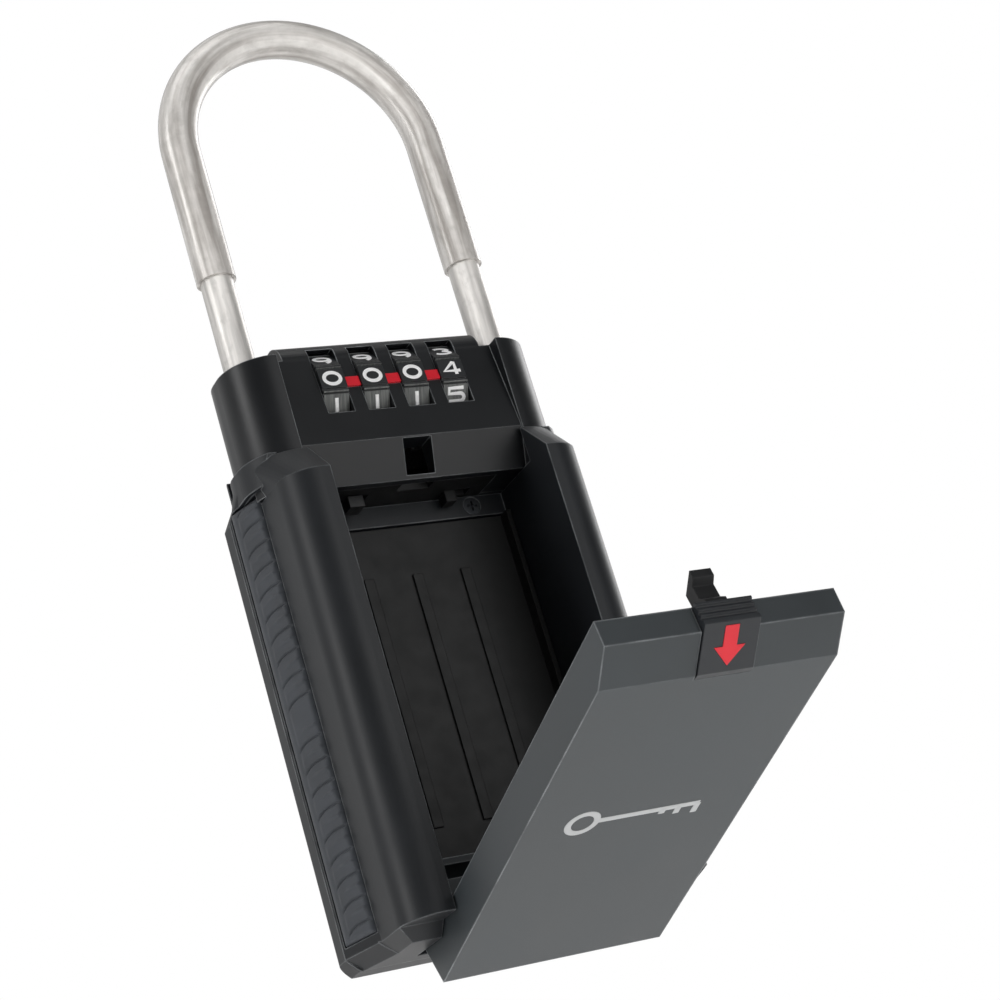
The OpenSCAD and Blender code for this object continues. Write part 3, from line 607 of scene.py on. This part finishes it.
def stage_floor():
    """Plain pale floor, below the camera, which looks up at the hanging box."""
    mesh = bpy.data.meshes.new("floor")
    square = ((-1, -1), (1, -1), (1, 1), (-1, 1))
    corners = [(x * FLOOR_REACH, y * FLOOR_REACH, FLOOR_HEIGHT) for x, y in square]
    mesh.from_pydata(corners, [], [(0, 1, 2, 3)])
    g = Graph("floor_paint")
    g.surface(Base_Color=g.mix(g.noise(3.0), rgb("#ecebea"), rgb("#f4f3f2")), Roughness=0.7)
    mesh.materials.append(g.material)
    floor = bpy.data.objects.new("floor", mesh)
    floor.visible_shadow = False  # the lights below it still reach the underside of the box
    bpy.context.scene.collection.objects.link(floor)
    return floor


def softbox(name, azimuth, elevation, distance, width, height, power, only=()):
    """Rectangular light that faces the box; with 'only', it lights just those objects."""
    light = bpy.data.lights.new(name, "AREA")
    light.shape = "RECTANGLE"
    light.size, light.size_y = width, height
    light.energy = power
    lamp = bpy.data.objects.new(name, light)
    a, e = math.radians(azimuth), math.radians(elevation)
    back = Vector((math.sin(a) * math.cos(e), -math.cos(a) * math.cos(e), math.sin(e)))
    lamp.location = AIM + back * distance
    lamp.rotation_mode = "QUATERNION"
    lamp.rotation_quaternion = back.to_track_quat("Z", "Y")
    bpy.context.scene.collection.objects.link(lamp)
    if only:
        receivers = bpy.data.collections.new(f"{name}_receivers")
        for receiver in only:
            receivers.objects.link(receiver)
        lamp.light_linking.receiver_collection = receivers


def studio_world():
    """Even white for the camera; for the surfaces, a dim room that is brighter behind the box."""
    world = bpy.data.worlds.new("studio")
    bpy.context.scene.world = world
    world.use_nodes = True
    tree = world.node_tree
    tree.nodes.clear()
    direction = tree.nodes.new("ShaderNodeTexCoord").outputs["Generated"]
    split = tree.nodes.new("ShaderNodeSeparateXYZ")
    behind = tree.nodes.new("ShaderNodeMapRange")
    for socket, value in (("From Min", 0.1), ("From Max", 0.9), ("To Min", 0.09), ("To Max", 0.8)):
        behind.inputs[socket].default_value = value
    room = tree.nodes.new("ShaderNodeBackground")
    sheet = tree.nodes.new("ShaderNodeBackground")
    for node in (room, sheet):
        node.inputs["Color"].default_value = (1.0, 1.0, 1.0, 1.0)
    sheet.inputs["Strength"].default_value = 1.0
    path = tree.nodes.new("ShaderNodeLightPath")
    mixed = tree.nodes.new("ShaderNodeMixShader")
    output = tree.nodes.new("ShaderNodeOutputWorld")
    for source, target in (
        (direction, split.inputs[0]),
        (split.outputs["Y"], behind.inputs["Value"]),
        (behind.outputs["Result"], room.inputs["Strength"]),
        (path.outputs["Is Camera Ray"], mixed.inputs[0]),
        (room.outputs[0], mixed.inputs[1]),
        (sheet.outputs[0], mixed.inputs[2]),
        (mixed.outputs[0], output.inputs["Surface"]),
    ):
        tree.links.new(source, target)


def light_up(floor):
    """All the lamps; two of them light only the floor, or only the steel."""
    receivers = {
        "floor_wash": [floor],
        "steel_front": [frame["nodes"][name] for name in ("shackle", "shackle_sleeve")],
    }
    for name, *placing in LAMPS:
        softbox(name, *placing, receivers.get(name, ()))


def set_camera():
    """Looks up at the box from the lower left, turned a little about the line of sight."""
    azimuth, elevation, roll = (math.radians(angle) for angle in CAMERA_ANGLES)
    back = Vector((
        math.sin(azimuth) * math.cos(elevation),
        -math.cos(azimuth) * math.cos(elevation),
        math.sin(elevation),
    ))
    level = Vector((0, 0, 1)).cross(back).normalized()
    upright = back.cross(level)
    right = level * math.cos(roll) - upright * math.sin(roll)
    up = upright * math.cos(roll) + level * math.sin(roll)
    data = bpy.data.cameras.new("photo_camera")
    data.lens = LENS_MM
    data.sensor_width = SENSOR_MM
    data.clip_start = 0.01
    camera = bpy.data.objects.new("photo_camera", data)
    turn = Matrix((right, up, back)).transposed().to_4x4()
    camera.matrix_world = Matrix.Translation(AIM + back * CAMERA_DISTANCE) @ turn
    bpy.context.scene.collection.objects.link(camera)
    bpy.context.scene.camera = camera


# ---------- the object ----------

dress(["front_shell"], coated_metal("case_metal", "#14171b", 0.46))
dress(["rear_cover"], coated_metal("cover_metal", "#14171b", 0.48))
dress(["head_front", "head_rear"], coated_metal("head_metal", "#111316", 0.38, 0.3 * MM, highlight_and_wear=0.9))
dress(["door"], coated_metal("door_metal", "#33383b", 0.42, 0.45 * MM, highlight_and_wear=0.9))
# painted shade: the inner parts are made near black so that they sit in the deep shadow under the head
dress(["compartment_liner", "mechanism_cover", "latch_cover", "code_reset_lever"],
      moulded_plastic("inner_plastic", "#070809", 0.55))
dress(["latch_tab"], moulded_plastic("tab_plastic", "#23262a", 0.42, 0.3 * MM))
dress([f"wheel_{i}" for i in range(1, 5)], wheel_plastic("wheel_plastic", "#232527"))
dress(["release_knob", "latch_hook"], moulded_plastic("knob_plastic", "#121315", 0.45, 0.3 * MM))
dress(["index_marks", "latch_arrow"], moulded_plastic("red_plastic", "#dc1228", 0.4, 0.2 * MM, 0.15))
dress(["shackle"], rod_steel("shackle_steel", "#dedbd7"))
dress(["shackle_sleeve"], clear_tube("clear_sleeve"))
dress(["wheel_shaft", "hinge_pin", "locking_plate", "shackle_bolt"],
      plain_metal("mechanism_steel", "#b6b7b8", 0.3, (1.0, 6.0, 6.0)))
dress(["case_screws", "head_screws", "cover_screws", "latch_screws", "shackle_clip"],
      plain_metal("screw_steel", "#5c5f63", 0.36))
spring_steel = plain_metal("spring_steel", "#c2c4c6", 0.25)
dress(["detent_spring"], spring_steel)
soft_spring("bolt_spring", "case", (1, 0, 0), spring_steel)
soft_spring("locking_springs", "case", (0, 1, 0), spring_steel)
door_up = on_open_door().to_3x3() @ Vector((0, 0, 1))
soft_spring("latch_spring", "door", door_up, spring_steel)
dress([f"cam_{i}" for i in range(1, 5)], plain_metal("cam_brass", "#c9a24a", 0.28))

rubber = grip_rubber("grip_rubber", "#363a40")
ribbed_grip("left_grip_rubber", "left_grip", -1, rubber)
ribbed_grip("right_grip_rubber", "right_grip", 1, rubber)

white = printed("figure_paint", "#ffffff", 0.4)
for number, shown_figure in enumerate(SHOWN, start=1):
    wheel_figures(number, shown_figure, white)
key_mark(printed("mark_paint", "#b9bbbc", 0.35))

studio_world()
light_up(stage_floor())
set_camera()
bpy.context.scene.view_settings.view_transform = "Standard"
